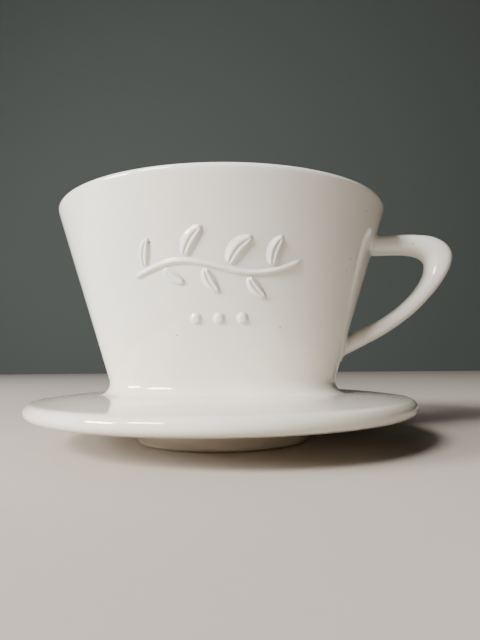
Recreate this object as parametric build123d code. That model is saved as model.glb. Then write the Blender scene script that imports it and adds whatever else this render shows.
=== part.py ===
"""Ceramic pour-over dripper: an oval tapered hopper on a round saucer with a foot ring and a handle.

Millimetres, +Z up. The origin is the centre of the foot ring on the plane it stands on.
The handle points to +X and the decorated front faces -Y.
"""

import math
import os

from build123d import *

# Foot ring, which centres the dripper in a cup
foot_outer_radius = 27.0
foot_wall = 3.6
foot_edge_round = 0.6

# Saucer
saucer_radius = 59.0
saucer_edge_half_thickness = 2.25
saucer_edge_height = 10.85
saucer_underside = 8.9
saucer_top_at_edge = saucer_edge_height + saucer_edge_half_thickness
saucer_top_at_hopper = 14.4
lip_setback = 2.8
lip_width = 1.8
lip_outer_radius = saucer_radius - lip_setback
lip_inner_radius = lip_outer_radius - lip_width
lip_drop = 0.6
seat_drop = 0.2
seat_clearance = 1.6
seat_inner_radius = foot_outer_radius + seat_clearance

# Hopper: an oval mouth that narrows to a long, rounded slot at the saucer
rim_height = 72.0
mouth_half_length = 52.3
mouth_half_width = 46.0
mouth_power = 2.0
base_half_length = 34.1
base_half_width = 19.6
base_power = 2.9
hopper_wall_thickness = 3.6
hopper_root_round = 3.6
collar_height = 1.4
hopper_seam_height = saucer_top_at_hopper + collar_height
hopper_height = rim_height - saucer_top_at_hopper
rim_flat = 0.5
rim_round = hopper_wall_thickness / 2 - rim_flat
root_slab_margin = 0.5
level_margin = 1.0
outline_points = 32

# Drain floor, let into the saucer from below
floor_top = 12.2
floor_margin = 1.6
drain_hole_radius = 2.2
drain_hole_spacing = 15.0
drain_hole_count = 3

# Filter ribs on the inside of the hopper
rib_width = 2.2
rib_height = 1.3
rib_clearance_below = 4.0
rib_clearance_above = 12.0
rib_bottom = floor_top + rib_clearance_below
rib_top = rim_height - rib_clearance_above
side_rib_spacing = 10.0
side_rib_count = 5

# Handle
handle_width = 9.6
handle_edge_round = 2.2
handle_round_limit = 0.45
handle_overhang = 21.4
arm_drop = 7.7
brace_rise = 10.8
handle_reach = mouth_half_length + handle_overhang
arm_top = rim_height - arm_drop
brace_bottom = saucer_top_at_hopper + brace_rise

# Handle outlines, from the root of the arm round the corner to the lower end. Each point is a
# share of the way out from the wall to the reach, and a share of the way down from the arm's top
# to the brace's bottom. Points with a negative first share are buried in the wall.
handle_outer_points = [
    (-0.427, 0.0),
    (0.077, 0.0),
    (0.559, 0.0),
    (0.835, 0.033),
    (0.968, 0.105),
    (1.0, 0.182),
    (0.942, 0.309),
    (0.816, 0.450),
    (0.610, 0.645),
    (0.411, 0.793),
    (0.212, 0.905),
    (-0.061, 1.031),
]
handle_inner_points = [
    (-0.320, 0.156),
    (0.146, 0.156),
    (0.477, 0.161),
    (0.633, 0.187),
    (0.698, 0.243),
    (0.680, 0.325),
    (0.586, 0.458),
    (0.373, 0.627),
    (0.170, 0.742),
    (-0.135, 0.887),
]

# Raised decoration on the front
relief_height = 0.7
sprig_lean = 5.0
sprig_drop = 23.5
sprig_centre_height = rim_height - sprig_drop
sprig_start = -20.5
sprig_end = 24.0
sprig_wave = 2.4
stem_width = 1.5
stem_taper = 0.5
stem_steps = 12
slope_step = 0.01
leaf_gap = 0.45
leaf_fullness = 0.24
# Each leaf: share along the stem, length, angle from the stem, side of the stem
leaf_places = [
    (0.08, 7.6, 58, 1),
    (0.18, 7.0, 46, -1),
    (0.31, 9.2, 56, 1),
    (0.43, 7.6, 46, -1),
    (0.56, 9.8, 58, 1),
    (0.68, 7.2, 46, -1),
    (0.82, 8.4, 54, 1),
]
dot_radius = 1.7
dot_spacing = 6.2
dot_row_centre = 1.7
dot_row_drop = 36.4
dot_row_height = rim_height - dot_row_drop
dot_count = 3

# Working sizes: how far cutting shapes reach, and how close counts as on a level
cut_reach = 90.0
mouth_clearance = 2.0
level_tolerance = 0.01


def superellipse_point(angle, half_length, half_width, power):
    """Point of an oval outline; power 2 is an ellipse and larger powers are squarer."""
    c = math.cos(angle)
    s = math.sin(angle)
    x = half_length * math.copysign(abs(c) ** (2.0 / power), c)
    y = half_width * math.copysign(abs(s) ** (2.0 / power), s)
    return x, y


def hopper_outline(height, offset=0.0):
    """Points of the hopper's outside at a height, moved outwards by offset."""
    share = (height - saucer_top_at_hopper) / hopper_height
    points = []
    for i in range(outline_points):
        angle = 2.0 * math.pi * i / outline_points
        bx, by = superellipse_point(
            angle, base_half_length + offset, base_half_width + offset, base_power
        )
        mx, my = superellipse_point(
            angle, mouth_half_length + offset, mouth_half_width + offset, mouth_power
        )
        points.append((bx + (mx - bx) * share, by + (my - by) * share, height))
    return points


def hopper_solid(low, high, offset=0.0):
    """Solid inside the hopper's tapered surface between two heights."""
    ends = [
        make_face(Spline(*hopper_outline(height, offset), periodic=True).edges())
        for height in (low, high)
    ]
    return loft(ends, ruled=True)


def hopper_half_length(height):
    """Distance from the axis to the hopper's outside, along the handle's side."""
    share = (height - saucer_top_at_hopper) / hopper_height
    return base_half_length + (mouth_half_length - base_half_length) * share


def layer(low, high):
    """Block that holds everything between two heights."""
    return Pos(0, 0, low) * Box(
        4 * cut_reach, 4 * cut_reach, high - low, align=(Align.CENTER, Align.CENTER, Align.MIN)
    )


def saucer_profile():
    """Half section of the saucer without the hopper's openings, in the XZ plane."""
    edge_centre = saucer_radius - saucer_edge_half_thickness
    edge_bottom = saucer_edge_height - saucer_edge_half_thickness
    lip_bottom = saucer_underside - lip_drop
    seat_height = saucer_underside - seat_drop
    points = [
        (0, saucer_underside),
        (seat_inner_radius, saucer_underside),
        (seat_inner_radius, seat_height),
        (lip_inner_radius, seat_height),
        (lip_inner_radius + lip_drop, lip_bottom),
        (lip_outer_radius, lip_bottom),
        (edge_centre, edge_bottom),
    ]
    lines = [Line(a, b) for a, b in zip(points[:-1], points[1:])]
    edge = ThreePointArc(
        (edge_centre, edge_bottom),
        (saucer_radius, saucer_edge_height),
        (edge_centre, saucer_top_at_edge),
    )
    level = base_half_length + hopper_root_round + level_margin
    top = Line((edge_centre, saucer_top_at_edge), (level, saucer_top_at_hopper))
    centre = Line((level, saucer_top_at_hopper), (0, saucer_top_at_hopper))
    axis = Line((0, saucer_top_at_hopper), (0, saucer_underside))
    return Plane.XZ * make_face(Curve() + [*lines, edge, top, centre, axis])


def rooted_hopper():
    """Hopper and a slab under it, joined by the rounded root."""
    slab_radius = base_half_length + hopper_root_round + root_slab_margin
    slab = Pos(0, 0, saucer_top_at_hopper) * Cylinder(
        slab_radius, saucer_top_at_hopper - saucer_underside,
        align=(Align.CENTER, Align.CENTER, Align.MAX),
    )
    body = hopper_solid(saucer_top_at_hopper, rim_height) + slab
    root = [
        e for e in body.edges()
        if abs(e.bounding_box().min.Z - saucer_top_at_hopper) < level_tolerance
        and abs(e.bounding_box().max.Z - saucer_top_at_hopper) < level_tolerance
        and e.bounding_box().max.X < base_half_length + level_margin
    ]
    return fillet(root, hopper_root_round)


def drain_floor_block(low, high):
    """Solid inside the drain floor's outline."""
    half_length = base_half_length - hopper_wall_thickness + floor_margin
    half_width = base_half_width - hopper_wall_thickness + floor_margin
    points = [
        superellipse_point(
            2.0 * math.pi * i / outline_points, half_length, half_width, base_power
        )
        for i in range(outline_points)
    ]
    outline = make_face(Spline(*[(x, y, low) for x, y in points], periodic=True).edges())
    return extrude(outline, high - low, dir=(0, 0, 1))


def cavity(offset=0.0):
    """Solid inside the hopper's inner surface, from the drain floor to above the rim."""
    return hopper_solid(floor_top, rim_height + mouth_clearance, offset - hopper_wall_thickness)


def hopper_wall(rooted, inside):
    """Tapered wall with its rounded rim, standing on the saucer's collar."""
    wall = rooted - layer(-cut_reach, hopper_seam_height) - inside
    rim = [e for e in wall.edges() if e.bounding_box().min.Z > rim_height - level_tolerance]
    return fillet(rim, rim_round)


def saucer(rooted, inside):
    """Round saucer with a low collar for the hopper and an opening for the drain floor."""
    disc = revolve(saucer_profile(), Axis.Z)
    collar = rooted & layer((saucer_underside + saucer_top_at_edge) / 2, hopper_seam_height)
    return disc + collar - inside - drain_floor_block(0, floor_top)


def drain_floor():
    """Plate that closes the hopper's lower end, with a row of outlet holes."""
    plate = drain_floor_block(saucer_underside, floor_top)
    for i in range(drain_hole_count):
        x = (i - (drain_hole_count - 1) / 2) * drain_hole_spacing
        plate -= Pos(x, 0, floor_top) * Cylinder(drain_hole_radius, 2 * floor_top)
    return plate


def foot_ring():
    """Ring that the dripper stands on and that drops inside a cup's rim."""
    ring = Cylinder(foot_outer_radius, saucer_underside, align=(Align.CENTER, Align.CENTER, Align.MIN))
    ring -= Cylinder(foot_outer_radius - foot_wall, 4 * saucer_underside)
    low_edges = ring.edges().filter_by(GeomType.CIRCLE).group_by(Axis.Z)[0]
    return fillet(low_edges, foot_edge_round)


def side_rib(shell, x, side):
    """Upright rib on the hopper's broad side, at x on the inside of the wall."""
    block = Pos(x, side * cut_reach / 2, (rib_bottom + rib_top) / 2) * Box(
        rib_width, cut_reach, rib_top - rib_bottom
    )
    return block & shell


def end_rib(shell, side):
    """Upright rib in the middle of one of the hopper's narrow ends."""
    block = Pos(side * cut_reach / 2, 0, (rib_bottom + rib_top) / 2) * Box(
        cut_reach, rib_width, rib_top - rib_bottom
    )
    return block & shell


def handle_curve(points):
    """Smooth curve in the XZ plane through points given as shares of the handle's size."""
    placed = []
    for out, down in points:
        height = arm_top - down * (arm_top - brace_bottom)
        wall = hopper_half_length(height)
        placed.append((wall + out * (handle_reach - wall), height))
    return Spline(*placed)


def handle_loop(hopper_outside):
    """Pointed loop: a level arm, a rounded corner and a curved brace back to the wall."""
    outer = handle_curve(handle_outer_points)
    inner = handle_curve(handle_inner_points)
    ends = [Line(outer @ 1, inner @ 1), Line(inner @ 0, outer @ 0)]
    outline = make_face(Curve() + [outer, inner, *ends])
    blank = extrude(Plane.XZ * outline, handle_width, dir=(0, 1, 0))
    blank = Pos(0, -handle_width / 2, 0) * blank
    arm_thickness = handle_inner_points[0][1] * (arm_top - brace_bottom)
    edge_round = min(handle_edge_round, handle_round_limit * arm_thickness)
    long_edges = [
        e for e in blank.edges().filter_by(GeomType.BSPLINE)
        if abs(abs(e.center().Y) - handle_width / 2) < level_tolerance
    ]
    return fillet(long_edges, edge_round) - hopper_outside


def front_block(outline):
    """Solid that carries a flat outline forwards through the hopper's front."""
    return extrude(Plane.XZ * outline, cut_reach, dir=(0, -1, 0))


def stem_point(share):
    """Point on the centre line of the sprig, from its left end at 0 to its right end at 1."""
    x = sprig_start + (sprig_end - sprig_start) * share
    rise = math.tan(math.radians(sprig_lean)) * (x - (sprig_start + sprig_end) / 2)
    wave = sprig_wave * math.sin(2.0 * math.pi * share)
    return x, sprig_centre_height + rise + wave


def stem_outline():
    """Tapered band along the sprig's centre line."""
    upper = []
    lower = []
    for i in range(stem_steps + 1):
        share = i / stem_steps
        x, z = stem_point(share)
        half = stem_width / 2 * (1.0 - stem_taper * share)
        upper.append((x, z + half))
        lower.append((x, z - half))
    ends = [Line(upper[-1], lower[-1]), Line(lower[0], upper[0])]
    return make_face(Curve() + [Spline(*upper), Spline(*lower[::-1]), *ends])


def leaf_outline(share, length, angle, side):
    """Pointed oval leaf that starts just clear of the stem, at an angle from the stem's run."""
    x, z = stem_point(share)
    ahead_x, ahead_z = stem_point(share + slope_step)
    run = math.atan2(ahead_z - z, ahead_x - x)
    across = run + side * math.pi / 2
    clear = stem_width / 2 + leaf_gap
    fullness = leaf_fullness * length
    tip = (length, 0)
    upper = ThreePointArc((0, 0), (length / 2, fullness), tip)
    lower = ThreePointArc(tip, (length / 2, -fullness), (0, 0))
    leaf = make_face(Curve() + [upper, lower])
    place = Pos(x + clear * math.cos(across), z + clear * math.sin(across))
    return place * Rot(0, 0, math.degrees(run) + side * angle) * leaf


def front_dot(index):
    """Outline of one of the dots under the sprig."""
    x = dot_row_centre + (index - (dot_count - 1) / 2) * dot_spacing
    return Pos(x, dot_row_height) * Circle(dot_radius)


def build_parts():
    """Every named piece of the dripper."""
    rooted = rooted_hopper()
    inside = cavity()
    outside = hopper_solid(saucer_top_at_hopper, rim_height)
    relief_shell = hopper_solid(saucer_top_at_hopper, rim_height, relief_height) - outside
    rib_shell = inside - cavity(-rib_height)

    parts = {
        "hopper_wall": hopper_wall(rooted, inside),
        "saucer": saucer(rooted, inside),
        "drain_floor": drain_floor(),
        "foot_ring": foot_ring(),
        "handle_loop": handle_loop(outside),
        "end_rib_handle": end_rib(rib_shell, 1),
        "end_rib_free": end_rib(rib_shell, -1),
        "sprig_stem": front_block(stem_outline()) & relief_shell,
    }
    for i in range(side_rib_count):
        x = (i - (side_rib_count - 1) / 2) * side_rib_spacing
        parts[f"front_rib_{i + 1}"] = side_rib(rib_shell, x, -1)
        parts[f"back_rib_{i + 1}"] = side_rib(rib_shell, x, 1)
    for i, place in enumerate(leaf_places):
        parts[f"sprig_leaf_{i + 1}"] = front_block(leaf_outline(*place)) & relief_shell
    for i in range(dot_count):
        parts[f"front_dot_{i + 1}"] = front_block(front_dot(i)) & relief_shell
    return parts


os.makedirs("parts", exist_ok=True)
for name, shape in build_parts().items():
    export_step(shape, f"parts/{name}.step")
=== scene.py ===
"""Glazed porcelain pour-over dripper on a plain pale studio floor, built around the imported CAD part."""

import math

import bmesh
import bpy
import numpy as np
from mathutils import Matrix, Vector


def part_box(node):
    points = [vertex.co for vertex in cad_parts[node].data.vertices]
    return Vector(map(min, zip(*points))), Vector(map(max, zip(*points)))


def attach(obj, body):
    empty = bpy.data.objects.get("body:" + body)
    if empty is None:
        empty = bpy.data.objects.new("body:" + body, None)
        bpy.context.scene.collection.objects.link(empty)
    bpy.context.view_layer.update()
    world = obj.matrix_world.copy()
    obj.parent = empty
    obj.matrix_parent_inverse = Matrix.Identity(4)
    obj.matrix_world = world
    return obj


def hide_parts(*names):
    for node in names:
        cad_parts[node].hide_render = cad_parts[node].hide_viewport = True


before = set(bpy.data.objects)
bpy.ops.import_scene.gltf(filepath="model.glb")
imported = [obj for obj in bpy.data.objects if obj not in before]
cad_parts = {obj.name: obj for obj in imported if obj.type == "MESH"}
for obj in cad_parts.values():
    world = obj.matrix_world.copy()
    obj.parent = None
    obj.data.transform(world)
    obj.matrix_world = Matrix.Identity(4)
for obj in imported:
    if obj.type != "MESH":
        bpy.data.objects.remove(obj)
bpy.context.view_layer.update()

MM = 0.001

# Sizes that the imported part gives, in metres. A box is its low corner and its high corner.
foot_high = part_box("foot_ring")[1]
loop_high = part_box("handle_loop")[1]
rib_low, rib_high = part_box("front_rib_3")
foot_radius = foot_high.x
saucer_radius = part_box("saucer")[1].x
underside = foot_high.z
rim_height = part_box("hopper_wall")[1].z
floor_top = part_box("drain_floor")[1].z
handle_reach = loop_high.x
handle_half_width = loop_high.y

# Hopper: an oval mouth that narrows to a long, rounded slot at the saucer
saucer_top = 14.4 * MM
mouth_half_length = 52.3 * MM
mouth_half_width = 46.0 * MM
mouth_power = 2.0
base_half_length = 34.1 * MM
base_half_width = 19.6 * MM
base_power = 2.9
wall_thickness = 3.6 * MM
rim_round = wall_thickness / 2
root_round = 3.6 * MM
inside_corner = 4.0 * MM

# Saucer's rounded edge and the small lip under it
edge_half_thickness = 2.25 * MM
edge_height = 10.85 * MM
lip_middle = 55.3 * MM
lip_half_width = 0.9 * MM
lip_bottom = 8.3 * MM
saucer_crown = 1.8

# Foot ring
foot_wall = 3.6 * MM
foot_edge_round = 1.1 * MM
foot_cove = 1.2 * MM
foot_sink = 0.05 * MM
bare_clay_height = 1.2 * MM

# Drain plate in the middle of the floor
plate_half_length = 21.0 * MM
plate_half_width = 10.5 * MM
hole_count = 3
hole_radius = 2.2 * MM
hole_spacing = 15.0 * MM
hole_round = 0.6 * MM

# Ribs inside the hopper
rib_half_width = 1.25 * MM
rib_height = 1.2 * MM
rib_spacing = 10.0 * MM
rib_count = 5

# Raised decoration
relief_height = 0.7 * MM
relief_sink = 0.03 * MM
relief_root = 0.5 * MM
sprig_start = -20.5 * MM
sprig_end = 24.0 * MM
sprig_centre_height = rim_height - 23.5 * MM
sprig_lean = math.tan(math.radians(5.0))
sprig_wave = 2.4 * MM
stem_width = 1.5 * MM
leaf_fullness = 0.27
dot_radius = 1.85 * MM
dot_spacing = 6.2 * MM
dot_row_centre = 1.7 * MM
dot_row_height = rim_height - 36.4 * MM
dot_count = 3

# Each leaf: share along the stem, length in mm, angle from the stem, side of the stem
leaf_places = [
    (0.08, 7.6, 58, 1),
    (0.18, 7.0, 46, -1),
    (0.31, 9.2, 56, 1),
    (0.43, 7.6, 46, -1),
    (0.56, 9.8, 58, 1),
    (0.68, 7.2, 46, -1),
    (0.82, 8.4, 54, 1),
]

# Handle: pairs of points across it, outside then finger side, from the arm's root to the brace's.
# Each is mm back from the handle's reach and mm down from the arm's top.
arm_top = rim_height - 7.7 * MM
handle_pairs = [
    ((27.2, 0.0), (27.6, 6.1)),
    ((22.0, 0.0), (22.4, 6.1)),
    ((16.4, -0.1), (17.2, 6.05)),
    ((10.8, 0.05), (13.2, 6.3)),
    ((6.0, 0.75), (10.6, 7.0)),
    ((2.4, 2.6), (9.0, 8.1)),
    ((0.5, 5.0), (8.3, 9.3)),
    ((0.0, 7.6), (8.3, 10.8)),
    ((0.8, 10.6), (8.8, 12.8)),
    ((2.8, 14.2), (10.4, 15.8)),
    ((6.2, 18.7), (13.2, 19.3)),
    ((11.0, 23.8), (17.2, 22.9)),
    ((16.4, 28.2), (21.6, 26.0)),
    ((22.2, 32.0), (26.6, 28.7)),
    ((28.4, 35.3), (31.6, 31.2)),
    ((34.4, 38.3), (36.2, 33.4)),
    ((38.0, 40.1), (37.4, 34.0)),
]
handle_squareness = 2.5
handle_joint_round = 1.3 * MM

# Mesh density
quarter_points = 72
ring_points = 4 * quarter_points
outline_samples = 1601
hole_points = 40
handle_around = 48

# Glaze detail: noise scales per metre, then depths
mottle_scale = 42.0
bottom_tint_scale = 90.0
gloss_scale = 160.0
pit_scale = 210.0
grit_scale = 900.0
wave_scale = 55.0
fine_scale = 620.0
wave_depth = 0.35 * MM
fine_depth = 0.04 * MM
pit_depth = 0.2 * MM

# Studio paper, in metres
studio_half_width = 3.0
floor_front = -1.6
backdrop_place = 1.1
backdrop_height = 2.4


# ---------------------------------------------------------------- outlines

def oval(half_length, half_width, power, quarter=quarter_points):
    """Closed outline, evenly spaced along each quarter, from +X anticlockwise."""
    turn = np.linspace(0.0, math.pi / 2, outline_samples)
    c, s = np.cos(turn), np.sin(turn)
    reach = ((c / half_length) ** power + (s / half_width) ** power) ** (-1.0 / power)
    x, y = reach * c, reach * s
    run = np.concatenate([[0.0], np.cumsum(np.hypot(np.diff(x), np.diff(y)))])
    at = np.linspace(0.0, run[-1], quarter + 1)
    x, y = np.interp(at, run, x), np.interp(at, run, y)
    x[-1] = 0.0
    y[0] = 0.0
    first = np.stack([x, y], 1)
    second = np.stack([-x[::-1], y[::-1]], 1)
    half = np.concatenate([first[:-1], second[:-1]])
    return np.concatenate([half, -half])


def circle(radius):
    """Round outline with as many points as the hopper's."""
    turn = np.linspace(0.0, 2.0 * math.pi, ring_points, endpoint=False)
    return np.stack([radius * np.cos(turn), radius * np.sin(turn)], 1)


def outward(ring):
    """Unit normals of a closed outline, pointing out."""
    along = np.roll(ring, -1, 0) - np.roll(ring, 1, 0)
    along /= np.linalg.norm(along, axis=1)[:, None]
    return np.stack([along[:, 1], -along[:, 0]], 1)


def at_height(ring, height):
    """Outline points raised to a height, which is one number or one for each point."""
    return np.column_stack([ring, np.broadcast_to(height, len(ring))])


def degrees(start, stop, steps):
    """Evenly spaced angles of an arc, in radians."""
    return np.linspace(math.radians(start), math.radians(stop), steps + 1)


def smooth(x):
    """Ease from 0 to 1."""
    x = min(max(x, 0.0), 1.0)
    return x * x * (3.0 - 2.0 * x)


class Hopper:
    """The hopper's outside surface: straight lines from the base's outline to the mouth's."""

    def __init__(self, quarter):
        self.base = oval(base_half_length, base_half_width, base_power, quarter)
        self.mouth = oval(mouth_half_length, mouth_half_width, mouth_power, quarter)
        self.lean = (self.mouth - self.base) / (rim_height - saucer_top)

    def ring(self, height, inset=0.0):
        """Outline at a height, moved inwards by inset."""
        ring = self.base + self.lean * (height - saucer_top)
        if inset:
            ring = ring - outward(ring) * inset
        return ring


hopper = Hopper(quarter_points)


class WallFace:
    """One face of the wall as a height field: how far out it is, across it and up it.

    axis 1 is a broad face, which looks along Y, and axis 0 a narrow end, which looks along X.
    """

    step = 1.0 * MM

    def __init__(self, axis, side, inset=0.0, inward=False):
        self.axis, self.side, self.inward = axis, side, inward
        fine = Hopper(6 * quarter_points)
        self.across = np.arange(-45, 46) * self.step
        self.heights = np.arange(10, 74) * self.step
        rows = []
        for height in self.heights:
            ring = fine.ring(height, inset)
            half = ring[ring[:, axis] * side > 0]
            half = half[np.argsort(half[:, 1 - axis])]
            rows.append(np.interp(self.across, half[:, 1 - axis], half[:, axis]))
        self.table = np.array(rows)

    def depth(self, across, height):
        """Place of the face on its own axis."""
        u = (across - self.across[0]) / self.step
        v = (height - self.heights[0]) / self.step
        i = int(min(max(v, 0), len(self.heights) - 2))
        j = int(min(max(u, 0), len(self.across) - 2))
        u, v = u - j, v - i
        low = self.table[i, j] * (1 - u) + self.table[i, j + 1] * u
        high = self.table[i + 1, j] * (1 - u) + self.table[i + 1, j + 1] * u
        return low * (1 - v) + high * v

    def point(self, across, height, lift):
        """Point raised by lift from the face."""
        here = self.depth(across, height)
        rise_across = self.depth(across + self.step, height) - self.depth(across - self.step, height)
        rise_up = self.depth(across, height + self.step) - self.depth(across, height - self.step)
        normal = [0.0, 0.0, -rise_up / (2 * self.step)]
        normal[self.axis] = 1.0
        normal[1 - self.axis] = -rise_across / (2 * self.step)
        place = [across, across, height]
        place[self.axis] = here
        way = self.side * (-1.0 if self.inward else 1.0)
        return Vector(place) + Vector(normal).normalized() * way * lift


# ---------------------------------------------------------------- meshes

def finished(name, bm):
    """Turns a bmesh into a smooth-shaded object in the scene."""
    mesh = bpy.data.meshes.new(name)
    bm.to_mesh(mesh)
    bm.free()
    mesh.polygons.foreach_set("use_smooth", [True] * len(mesh.polygons))
    ob = bpy.data.objects.new(name, mesh)
    bpy.context.scene.collection.objects.link(ob)
    return ob


def mesh_object(name, points, faces):
    """Smooth-shaded object with its faces turned outwards and its doubled points joined."""
    bm = bmesh.new()
    verts = [bm.verts.new(tuple(p)) for p in points]
    for face in faces:
        bm.faces.new([verts[i] for i in face])
    bmesh.ops.remove_doubles(bm, verts=bm.verts[:], dist=0.001 * MM)
    bmesh.ops.dissolve_degenerate(bm, edges=bm.edges[:], dist=0.0001 * MM)
    bmesh.ops.recalc_face_normals(bm, faces=bm.faces[:])
    return finished(name, bm)


def skin(name, rings):
    """Closed surface through a loop of closed rings that all have the same number of points."""
    count = len(rings[0])
    faces = []
    for i in range(len(rings)):
        a, b = i * count, (i + 1) % len(rings) * count
        for j in range(count):
            k = (j + 1) % count
            faces.append((a + j, a + k, b + k, b + j))
    return mesh_object(name, np.concatenate(rings), faces)


# ---------------------------------------------------------------- body

def root_rings():
    """Rounded root between the saucer's top and the wall, from the saucer up."""
    normal = outward(hopper.base)
    lean_out = np.sum(hopper.lean * normal, 1)
    lean_along = hopper.lean - normal * lean_out[:, None]
    tilt = np.arctan(lean_out)
    centre = root_round * (1.0 + np.sin(tilt)) / np.cos(tilt)
    rings = []
    for share in np.linspace(0.0, 1.0, 13):
        turn = 1.5 * math.pi - share * (0.5 * math.pi + tilt)
        out = centre + root_round * np.cos(turn)
        up = root_round + root_round * np.sin(turn)
        flat = hopper.base + normal * out[:, None] + lean_along * up[:, None]
        rings.append(at_height(flat, saucer_top + up))
    return rings


def outside_rings(start):
    """Outside of the wall from the top of the root to the rim."""
    stop = rim_height - rim_round
    rings = []
    for share in np.linspace(0.0, 1.0, 41)[1:]:
        height = start + (stop - start) * share
        rings.append(at_height(hopper.base + hopper.lean * (height - saucer_top)[:, None], height))
    return rings


def rim_rings():
    """Rounded rim, from the outside over to the inside."""
    rings = []
    for turn in degrees(0, 180, 14)[1:]:
        height = rim_height - rim_round * (1.0 - math.sin(turn))
        rings.append(at_height(hopper.ring(height, rim_round * (1.0 - math.cos(turn))), height))
    return rings


def inside_rings():
    """Inside of the wall, down to its rounded corner at the floor."""
    corner_top = floor_top + inside_corner
    rings = []
    for height in np.linspace(rim_height - rim_round, corner_top, 31)[1:]:
        rings.append(at_height(hopper.ring(height, wall_thickness), height))
    for turn in degrees(0, 90, 8)[1:]:
        height = corner_top - inside_corner * math.sin(turn)
        inset = wall_thickness + inside_corner * (1.0 - math.cos(turn))
        rings.append(at_height(hopper.ring(height, inset), height))
    return rings


def floor_rings(start):
    """Floor to the drain plate's edge, down it, and out along the underside to the lip."""
    plate = oval(plate_half_length, plate_half_width, base_power)
    rings = [at_height(start + (plate - start) * share, floor_top) for share in (0.35, 0.7, 1.0)]
    rings.append(at_height(plate, underside))
    lip_start = lip_middle - lip_half_width - (underside - lip_bottom)
    middle_radius = (plate_half_length + lip_start) / 2
    middle = circle(middle_radius)
    rings += [at_height(plate + (middle - plate) * share, underside) for share in (0.35, 0.7, 1.0)]
    for radius in np.linspace(middle_radius, lip_start, 5)[1:]:
        rings.append(at_height(circle(radius), underside))
    for turn in degrees(0, 180, 10)[1:]:
        radius = lip_start + (lip_middle + lip_half_width - lip_start) * turn / math.pi
        drop = (underside - lip_bottom) * math.sin(min(turn * 0.7, math.pi / 2))
        rings.append(at_height(circle(radius), underside - drop))
    return rings


def edge_rings():
    """Rounded edge of the saucer, from below to its top."""
    middle = saucer_radius - edge_half_thickness
    rings = []
    for turn in degrees(-86, 78, 26):
        radius = middle + edge_half_thickness * math.cos(turn)
        rings.append(at_height(circle(radius), edge_height + edge_half_thickness * math.sin(turn)))
    return rings


def saucer_top_rings(start, end):
    """Gently crowned top of the saucer, from its edge in to the hopper's root."""
    rings = []
    for share in np.linspace(0.0, 1.0, 17)[1:-1]:
        flat = start[:, :2] + (end[:, :2] - start[:, :2]) * share
        rise = (end[:, 2] - start[:, 2]) * (1.0 - (1.0 - share) ** saucer_crown)
        rings.append(at_height(flat, start[:, 2] + rise))
    return rings


def porcelain_body():
    """Hopper and saucer as the one glazed skin that they are, closed round the drain plate's opening."""
    rings = root_rings()
    root = rings[0]
    rings += outside_rings(rings[-1][:, 2])
    rings += rim_rings()
    rings += inside_rings()
    rings += floor_rings(rings[-1][:, :2])
    rings += edge_rings()
    rings += saucer_top_rings(rings[-1], root)
    return skin("porcelain_body", rings)


def foot_ring():
    """Ring that the dripper stands on, with coves where it joins the saucer's underside."""
    inner = foot_radius - foot_wall
    buried = underside + foot_sink
    section = [(inner - foot_cove, buried)]
    section += [(inner - foot_cove * (1 - math.cos(t)), underside - foot_cove * (1 - math.sin(t)))
                for t in degrees(90, 0, 6)]
    section += [(inner + foot_edge_round * (1 + math.cos(t)), foot_edge_round * (1 + math.sin(t)))
                for t in degrees(180, 270, 6)]
    section += [(foot_radius - foot_edge_round * (1 - math.cos(t)), foot_edge_round * (1 + math.sin(t)))
                for t in degrees(270, 360, 6)]
    section += [(foot_radius + foot_cove * (1 + math.cos(t)), underside - foot_cove * (1 - math.sin(t)))
                for t in degrees(180, 90, 6)]
    section.append((foot_radius + foot_cove, buried))
    return skin("foot_ring_glazed", [at_height(circle(radius), height) for radius, height in section])


def drain_plate():
    """Middle of the floor, with a row of round outlet holes whose edges the glaze has softened."""
    bm = bmesh.new()
    outline = oval(plate_half_length, plate_half_width, base_power)
    turns = np.linspace(0.0, 2.0 * math.pi, hole_points, endpoint=False)
    mouth = [(hole_radius + hole_round * (1.0 - math.sin(t)), hole_round * (1.0 - math.cos(t)))
             for t in degrees(0, 90, 5)]
    section = [(r, floor_top - drop) for r, drop in mouth]
    section += [(r, underside + drop) for r, drop in reversed(mouth)]
    holes = []
    for i in range(hole_count):
        centre = (i - (hole_count - 1) / 2) * hole_spacing
        loops = [[bm.verts.new((centre + r * math.cos(t), r * math.sin(t), z)) for t in turns]
                 for r, z in section]
        for upper, lower in zip(loops[:-1], loops[1:]):
            for j in range(hole_points):
                k = (j + 1) % hole_points
                bm.faces.new((upper[k], upper[j], lower[j], lower[k]))
        holes.append(loops)
    rims = []
    for height, end, way in ((floor_top, 0, 1), (underside, -1, -1)):
        rim = [bm.verts.new((x, y, height)) for x, y in outline]
        edges = [bm.edges.new((rim[j], rim[(j + 1) % len(rim)])) for j in range(len(rim))]
        for loops in holes:
            loop = loops[end]
            edges += [bm.edges.get((loop[j], loop[(j + 1) % hole_points])) for j in range(hole_points)]
        bmesh.ops.triangle_fill(bm, edges=edges, use_beauty=True, normal=(0, 0, way))
        rims.append(rim)
    top, bottom = rims
    for j in range(len(top)):
        k = (j + 1) % len(top)
        bm.faces.new((bottom[j], bottom[k], top[k], top[j]))
    bmesh.ops.recalc_face_normals(bm, faces=bm.faces[:])
    ob = finished("drain_plate", bm)
    crease = ob.modifiers.new("crease", "EDGE_SPLIT")
    crease.split_angle = math.radians(60)
    return ob


# ---------------------------------------------------------------- relief and ribs

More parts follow.
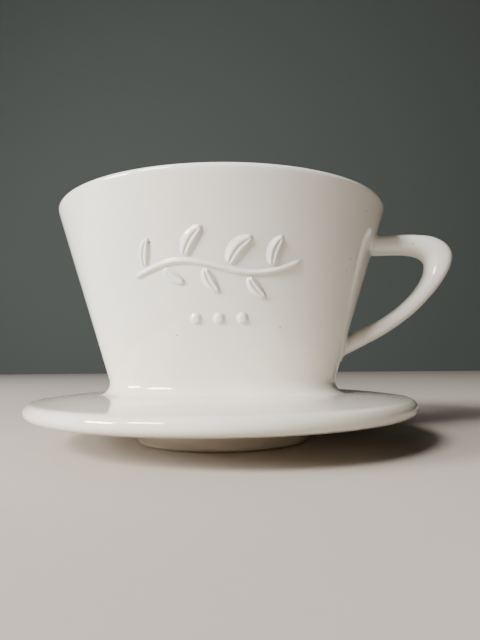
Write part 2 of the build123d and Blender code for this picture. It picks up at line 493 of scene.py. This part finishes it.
def wall_patch(name, face, path, half_width, lift, rows, columns):
    """Closed low relief on a face: path(s) is its middle line, and lift(s, w) its height across w."""
    top, bottom = [], []
    for i in range(rows + 1):
        s = i / rows
        a, z = path(s)
        ahead = Vector(path(min(s + 0.01, 1.0))) - Vector(path(max(s - 0.01, 0.0)))
        across = Vector((-ahead.y, ahead.x)).normalized()
        for j in range(columns + 1):
            w = 2.0 * j / columns - 1.0
            place = (a + across.x * w * half_width(s), z + across.y * w * half_width(s))
            top.append(face.point(*place, lift(s, w)))
            bottom.append(face.point(*place, -relief_root))
    count, wide = len(top), columns + 1
    faces = []
    for i in range(rows):
        for j in range(columns):
            a = i * wide + j
            quad = (a, a + 1, a + wide + 1, a + wide)
            faces.append(quad)
            faces.append(tuple(count + v for v in reversed(quad)))
    border = list(range(columns))
    border += [columns + i * wide for i in range(rows)]
    border += [rows * wide + columns - j for j in range(columns)]
    border += [(rows - i) * wide for i in range(rows)]
    for a, b in zip(border, border[1:] + border[:1]):
        faces.append((a, count + a, count + b, b))
    return mesh_object(name, top + bottom, faces)


def rounded(height, shoulder, w):
    """Height across a soft raised stroke: full over the middle, and just below the wall at w = 1."""
    return (height + relief_sink) * smooth((1.0 - abs(w)) / shoulder) - relief_sink


def stem_point(share):
    """Point of the sprig's centre line, from its left end at 0 to its right end at 1."""
    x = sprig_start + (sprig_end - sprig_start) * share
    rise = sprig_lean * (x - (sprig_start + sprig_end) / 2)
    return x, sprig_centre_height + rise + sprig_wave * math.sin(2.0 * math.pi * share)


def stem(face):
    """Stem that thins towards its tip."""

    def half(s):
        return (stem_width * (1.0 - 0.45 * s) / 2 + 0.25 * MM) * smooth((s + 0.02) / 0.05) ** 0.5

    def lift(s, w):
        ends = smooth(s / 0.03) * smooth((1.0 - s) / 0.06)
        return rounded(0.95 * relief_height * ends, 0.9, w)

    return wall_patch("sprig_stem_glazed", face, stem_point, half, lift, 150, 12)


def leaf(face, index):
    """Domed pointed leaf with a shallow midrib, slightly bowed away from the stem."""
    share, length, angle, side = leaf_places[index]
    length *= MM
    x, z = stem_point(share)
    ahead_x, ahead_z = stem_point(share + 0.01)
    run = math.atan2(ahead_z - z, ahead_x - x)
    across = run + side * math.pi / 2
    clear = stem_width / 2 + 0.1 * MM
    root = Vector((x + clear * math.cos(across), z + clear * math.sin(across)))
    turn = run + side * math.radians(angle)
    way = Vector((math.cos(turn), math.sin(turn)))
    sideways = Vector((-way.y, way.x)) * side

    def path(s):
        return tuple(root + way * length * s + sideways * 0.1 * length * math.sin(math.pi * s))

    def half(s):
        return leaf_fullness * length * max(math.sin(math.pi * s ** 0.85), 0.0) ** 0.75 + 0.02 * MM

    def lift(s, w):
        room = min(1.0, half(s) / (1.1 * MM))
        midrib = 0.24 * MM * room * math.exp(-(w * half(s) / (0.3 * MM)) ** 2) * smooth((0.9 - s) / 0.2)
        ends = smooth(s / 0.14) * smooth((1.0 - s) / 0.14)
        return (rounded(relief_height * room, 0.75, w) + relief_sink - midrib) * ends - relief_sink

    return wall_patch(f"sprig_leaf_{index + 1}_glazed", face, path, half, lift, 48, 26)


def dot(face, index):
    """Small round boss."""
    centre = dot_row_centre + (index - (dot_count - 1) / 2) * dot_spacing

    def path(s):
        return centre + dot_radius * (2.0 * s - 1.0), dot_row_height

    def half(s):
        return dot_radius * math.sqrt(max(1.0 - (2.0 * s - 1.0) ** 2, 0.000001))

    def lift(s, w):
        return rounded(relief_height, 0.7, math.hypot(2.0 * s - 1.0, w * half(s) / dot_radius))

    return wall_patch(f"front_dot_{index + 1}_glazed", face, path, half, lift, 28, 28)


def rib(name, face, across):
    """Soft upright rib that holds the paper filter off the wall."""

    def path(s):
        return across, rib_low.z + (rib_high.z - rib_low.z) * s

    def half(s):
        return rib_half_width

    def lift(s, w):
        return rounded(rib_height * smooth(s / 0.06) * smooth((1.0 - s) / 0.06), 0.85, w)

    return wall_patch(name, face, path, half, lift, 60, 10)


def relief_pieces():
    """Every raised piece on the outside and the inside of the wall, with the node it stands for."""
    front = WallFace(1, -1)
    made = [(stem(front), "sprig_stem")]
    made += [(leaf(front, i), f"sprig_leaf_{i + 1}") for i in range(len(leaf_places))]
    made += [(dot(front, i), f"front_dot_{i + 1}") for i in range(dot_count)]
    for label, side in (("front", -1), ("back", 1)):
        face = WallFace(1, side, wall_thickness, inward=True)
        for i in range(rib_count):
            node_name = f"{label}_rib_{i + 1}"
            across = (i - (rib_count - 1) / 2) * rib_spacing
            made.append((rib(node_name + "_glazed", face, across), node_name))
    for label, side in (("handle", 1), ("free", -1)):
        face = WallFace(0, side, wall_thickness, inward=True)
        made.append((rib(f"end_rib_{label}_glazed", face, 0.0), f"end_rib_{label}"))
    return made


# ---------------------------------------------------------------- handle

def smooth_through(points, steps):
    """Smooth curve through all the given points, with steps[i] spans between points i and i + 1."""
    p = np.array(points, float)
    p = np.concatenate([[2 * p[0] - p[1]], p, [2 * p[-1] - p[-2]]])
    curve = []
    for i in range(1, len(p) - 2):
        before, start, stop, after = p[i - 1:i + 3]
        for t in np.linspace(0.0, 1.0, steps[i - 1], endpoint=False):
            linear = (stop - before) * t
            square = (2 * before - 5 * start + 4 * stop - after) * t ** 2
            cube = (3 * start - before - 3 * stop + after) * t ** 3
            curve.append(0.5 * (2 * start + linear + square + cube))
    curve.append(p[-2])
    return np.array(curve)


def joint_swell(gap):
    """How far a surface that is gap from the wall swells to round the joint."""
    if gap >= handle_joint_round:
        return 0.0
    level = 1.0 - max(gap, 0.0) / handle_joint_round
    return handle_joint_round * (1.0 - math.sqrt(1.0 - level ** 2))


def handle_loop():
    """Pointed loop with a soft section and rounded joints where it grows out of the wall."""
    around = handle_around
    last = len(handle_pairs) - 1
    steps = [24 if i < 2 or i > last - 5 else 8 for i in range(last)]
    sides = []
    for side in (0, 1):
        placed = [(handle_reach - pair[side][0] * MM, arm_top - pair[side][1] * MM) for pair in handle_pairs]
        sides.append(smooth_through(placed, steps))
    end_face = WallFace(0, 1)
    power = 2.0 / handle_squareness
    points = []
    for outer, inner in zip(*sides):
        middle, half = (outer + inner) / 2, (outer - inner) / 2
        way = half / np.linalg.norm(half)
        for k in range(around):
            turn = 2.0 * math.pi * k / around
            c = math.copysign(abs(math.cos(turn)) ** power, math.cos(turn))
            s = math.copysign(abs(math.sin(turn)) ** power, math.sin(turn))
            x, z = middle + half * c
            y = handle_half_width * s
            swell = joint_swell(x - end_face.depth(y, z))
            x, z = x + way[0] * swell * math.cos(turn), z + way[1] * swell * math.cos(turn)
            points.append((x, y + swell * math.sin(turn), z))
    rows = len(sides[0])
    faces = []
    for i in range(rows - 1):
        for j in range(around):
            k = (j + 1) % around
            faces.append((i * around + j, i * around + k, (i + 1) * around + k, (i + 1) * around + j))
    faces.append(tuple(range(around)))
    faces.append(tuple((rows - 1) * around + k for k in reversed(range(around))))
    return mesh_object("handle_glazed", points, faces)


# ---------------------------------------------------------------- materials

def add(tree, kind, **values):
    """New node with its properties and inputs set by name."""
    n = tree.nodes.new(kind)
    for key, value in values.items():
        if hasattr(n, key):
            setattr(n, key, value)
        else:
            n.inputs[key].default_value = value
    return n


def noise(tree, where, scale, detail):
    """Noise at a real scale: 1000 / scale is its size in mm."""
    n = add(tree, "ShaderNodeTexNoise", Scale=scale, Detail=detail)
    tree.links.new(where, n.inputs["Vector"])
    return n.outputs["Fac"]


def remap(tree, value, low, high, to_low=0.0, to_high=1.0):
    """Value carried from low..high to to_low..to_high, and held at the ends."""
    n = add(tree, "ShaderNodeMapRange")
    for name, number in zip(("From Min", "From Max", "To Min", "To Max"), (low, high, to_low, to_high)):
        n.inputs[name].default_value = number
    tree.links.new(value, n.inputs["Value"])
    return n.outputs[0]


def times(tree, first, second):
    """Product of a value with a value or a number."""
    n = add(tree, "ShaderNodeMath", operation="MULTIPLY")
    tree.links.new(first, n.inputs[0])
    if isinstance(second, float):
        n.inputs[1].default_value = second
    else:
        tree.links.new(second, n.inputs[1])
    return n.outputs[0]


def mixed(tree, share, first, colour):
    """Colour that goes from first to a constant one."""
    n = add(tree, "ShaderNodeMix", data_type="RGBA")
    tree.links.new(share, n.inputs["Factor"])
    tree.links.new(first, n.inputs[6])
    n.inputs[7].default_value = (*colour, 1.0)
    return n.outputs[2]


def bump(tree, height, strength, distance, normal=None, invert=False):
    """Surface detail of a real depth, laid over another."""
    n = add(tree, "ShaderNodeBump", Strength=strength, Distance=distance, invert=invert)
    tree.links.new(height, n.inputs["Height"])
    if normal is not None:
        tree.links.new(normal, n.inputs["Normal"])
    return n.outputs[0]


def pinholes(tree, where):
    """Sparse small pits: a few cells of a 5 mm pattern hold one each, where the surface meets it."""
    cells = add(tree, "ShaderNodeTexVoronoi", Scale=pit_scale)
    tree.links.new(where, cells.inputs["Vector"])
    near = remap(tree, cells.outputs["Distance"], 0.060, 0.030)
    pick = add(tree, "ShaderNodeSeparateColor")
    tree.links.new(cells.outputs["Color"], pick.inputs[0])
    few = add(tree, "ShaderNodeMath", operation="GREATER_THAN")
    few.inputs[1].default_value = 0.62
    tree.links.new(pick.outputs[0], few.inputs[0])
    return times(tree, near, few.outputs[0])


def glaze(name, pale, warm, bottom_colour, bare_clay=None):
    """Clear ivory glaze over porcelain: mottled, warmer and darker towards the bottom, pitted, faintly wavy.
    """
    mat = bpy.data.materials.new(name)
    mat.use_nodes = True
    tree = mat.node_tree
    shader = tree.nodes["Principled BSDF"]
    shader.inputs["IOR"].default_value = 1.52
    shader.inputs["Coat Weight"].default_value = 0.4
    shader.inputs["Coat Roughness"].default_value = 0.03
    shader.inputs["Subsurface Weight"].default_value = 0.12
    shader.inputs["Subsurface Radius"].default_value = (1.0, 0.72, 0.45)
    shader.inputs["Subsurface Scale"].default_value = 2.2 * MM
    where = add(tree, "ShaderNodeTexCoord").outputs["Object"]
    split = add(tree, "ShaderNodeSeparateXYZ")
    tree.links.new(where, split.inputs[0])
    height = split.outputs["Z"]

    ramp = add(tree, "ShaderNodeValToRGB")
    for element, place, colour in zip(ramp.color_ramp.elements, (0.32, 0.70), (warm, pale)):
        element.position = place
        element.color = (*colour, 1.0)
    tree.links.new(noise(tree, where, mottle_scale, 4.0), ramp.inputs["Fac"])
    # Towards the bottom the colour is mixed unevenly with a warmer, darker one: not at all above 40 mm,
    # fully at 14 mm and below.
    towards_bottom = times(tree, remap(tree, height, 0.040, 0.014), noise(tree, where, bottom_tint_scale, 2.0))
    colour = mixed(tree, towards_bottom, ramp.outputs["Color"], bottom_colour)
    pits = pinholes(tree, where)
    colour = mixed(tree, times(tree, pits, 0.8), colour, (0.15, 0.10, 0.06))
    gloss = remap(tree, noise(tree, where, gloss_scale, 3.0), 0.3, 0.7, 0.04, 0.09)

    if bare_clay is not None:
        grit = noise(tree, where, grit_scale, 4.0)
        edge = add(tree, "ShaderNodeMath", operation="MULTIPLY_ADD")
        tree.links.new(grit, edge.inputs[0])
        edge.inputs[1].default_value = bare_clay_height
        tree.links.new(height, edge.inputs[2])
        bare = remap(tree, edge.outputs[0], bare_clay_height, bare_clay_height / 2)
        colour = mixed(tree, bare, colour, bare_clay)
        dull = add(tree, "ShaderNodeMix", data_type="FLOAT")
        tree.links.new(bare, dull.inputs["Factor"])
        tree.links.new(gloss, dull.inputs[2])
        dull.inputs[3].default_value = 0.75
        gloss = dull.outputs[0]

    normal = bump(tree, noise(tree, where, wave_scale, 1.0), 0.22, wave_depth)
    normal = bump(tree, noise(tree, where, fine_scale, 2.0), 0.12, fine_depth, normal)
    normal = bump(tree, pits, 0.6, pit_depth, normal, invert=True)
    tree.links.new(colour, shader.inputs["Base Color"])
    tree.links.new(gloss, shader.inputs["Roughness"])
    tree.links.new(normal, shader.inputs["Normal"])
    return mat


def paper(name, colour, mottling):
    """Matt studio paper with a faint fibre texture."""
    mat = bpy.data.materials.new(name)
    mat.use_nodes = True
    tree = mat.node_tree
    shader = tree.nodes["Principled BSDF"]
    shader.inputs["Roughness"].default_value = 0.9
    where = add(tree, "ShaderNodeTexCoord").outputs["Object"]
    base = add(tree, "ShaderNodeRGB")
    base.outputs[0].default_value = (*[c * (1.0 + mottling) for c in colour], 1.0)
    darker = [c * (1.0 - mottling) for c in colour]
    tone = mixed(tree, noise(tree, where, 300.0, 5.0), base.outputs[0], darker)
    tree.links.new(tone, shader.inputs["Base Color"])
    return mat


# ---------------------------------------------------------------- the dripper

ivory = glaze("ivory_glaze", (0.86, 0.835, 0.775), (0.82, 0.785, 0.71), (0.80, 0.73, 0.60))
# The foot's glaze colours are darker than the ivory: painted shade under the saucer. Only the bare clay at
# its bottom edge is the foot's own colour.
foot_shaded_glaze = glaze(
    "foot_glaze", (0.80, 0.75, 0.66), (0.74, 0.68, 0.57), (0.70, 0.62, 0.48), bare_clay=(0.56, 0.47, 0.36)
)

pieces = [
    (porcelain_body(), ("hopper_wall", "saucer"), "glaze", ivory),
    (foot_ring(), ("foot_ring",), "foot_glaze", foot_shaded_glaze),
    (drain_plate(), ("drain_floor",), "glaze", ivory),
    (handle_loop(), ("handle_loop",), "glaze", ivory),
]
pieces += [(ob, (node_name,), "glaze", ivory) for ob, node_name in relief_pieces()]
for ob, nodes, slot, material in pieces:
    ob.data.materials.append(material)
    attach(ob, "root")
    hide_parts(*nodes)


# ---------------------------------------------------------------- studio

def sheet(name, corners):
    """Flat sheet of studio paper."""
    return mesh_object(name, corners, [(0, 1, 2, 3)])


def soft_light(name, azimuth, elevation, distance, size, watts, colour):
    """Soft box that looks at the dripper. Azimuth 0 is in front, at -Y, and 90 is on the handle's side."""
    data = bpy.data.lights.new(name, "AREA")
    data.shape = "RECTANGLE"
    data.size, data.size_y = size
    data.energy = watts
    data.color = colour
    a, e = math.radians(azimuth), math.radians(elevation)
    way = Vector((math.sin(a) * math.cos(e), -math.cos(a) * math.cos(e), math.sin(e)))
    ob = bpy.data.objects.new(name, data)
    ob.location = Vector((0.0, 0.0, rim_height / 2)) + way * distance
    ob.rotation_euler = way.to_track_quat("Z", "Y").to_euler()
    bpy.context.scene.collection.objects.link(ob)


left_edge, right_edge = -studio_half_width, studio_half_width
floor = sheet("floor_paper", [
    (left_edge, floor_front, 0),
    (right_edge, floor_front, 0),
    (right_edge, backdrop_place, 0),
    (left_edge, backdrop_place, 0),
])
floor.data.materials.append(paper("pale_paper", (0.48, 0.43, 0.375), 0.03))
# The backdrop's near-black colour is painted shade: it stands in for a backdrop that the lights leave unlit.
backdrop = sheet("backdrop_paper", [
    (left_edge, backdrop_place, 0),
    (right_edge, backdrop_place, 0),
    (right_edge, backdrop_place, backdrop_height),
    (left_edge, backdrop_place, backdrop_height),
])
backdrop.data.materials.append(paper("shaded_backdrop_paper", (0.060, 0.070, 0.066), 0.03))

world = bpy.data.worlds.new("studio")
bpy.context.scene.world = world
world.use_nodes = True
world.node_tree.nodes["Background"].inputs["Color"].default_value = (0.40, 0.36, 0.32, 1.0)
world.node_tree.nodes["Background"].inputs["Strength"].default_value = 0.05

soft_light("upper_softbox", -39, 31, 1.2, (0.36, 0.26), 24, (1.0, 0.985, 0.965))
soft_light("lower_softbox", -62, 17, 1.2, (0.36, 0.26), 24, (1.0, 0.985, 0.965))
soft_light("overhead_fill", -60, 60, 1.5, (0.8, 0.8), 5, (0.97, 0.98, 1.0))

# ---------------------------------------------------------------- camera

camera_place = Vector((14.09, -156.17, 23.6)) * MM
camera_turn = 0.09
camera_pan, camera_pitch, camera_roll = 0.036, 0.090, -0.009
sensor_width = 36.0
lens = 27.1

heading = camera_pan - camera_turn
forward = Vector((
    math.sin(heading) * math.cos(camera_pitch),
    math.cos(heading) * math.cos(camera_pitch),
    math.sin(camera_pitch),
))
level = Vector((math.cos(heading), -math.sin(heading), 0.0))
upright = level.cross(forward)
right = math.cos(camera_roll) * level + math.sin(camera_roll) * upright
up = math.cos(camera_roll) * upright - math.sin(camera_roll) * level
camera_data = bpy.data.cameras.new("camera")
camera_data.sensor_width = sensor_width
camera_data.lens = lens
camera_data.clip_start = 10 * MM
camera = bpy.data.objects.new("camera", camera_data)
camera.matrix_world = Matrix.Translation(camera_place) @ Matrix([right, up, -forward]).transposed().to_4x4()
bpy.context.scene.collection.objects.link(camera)
bpy.context.scene.camera = camera
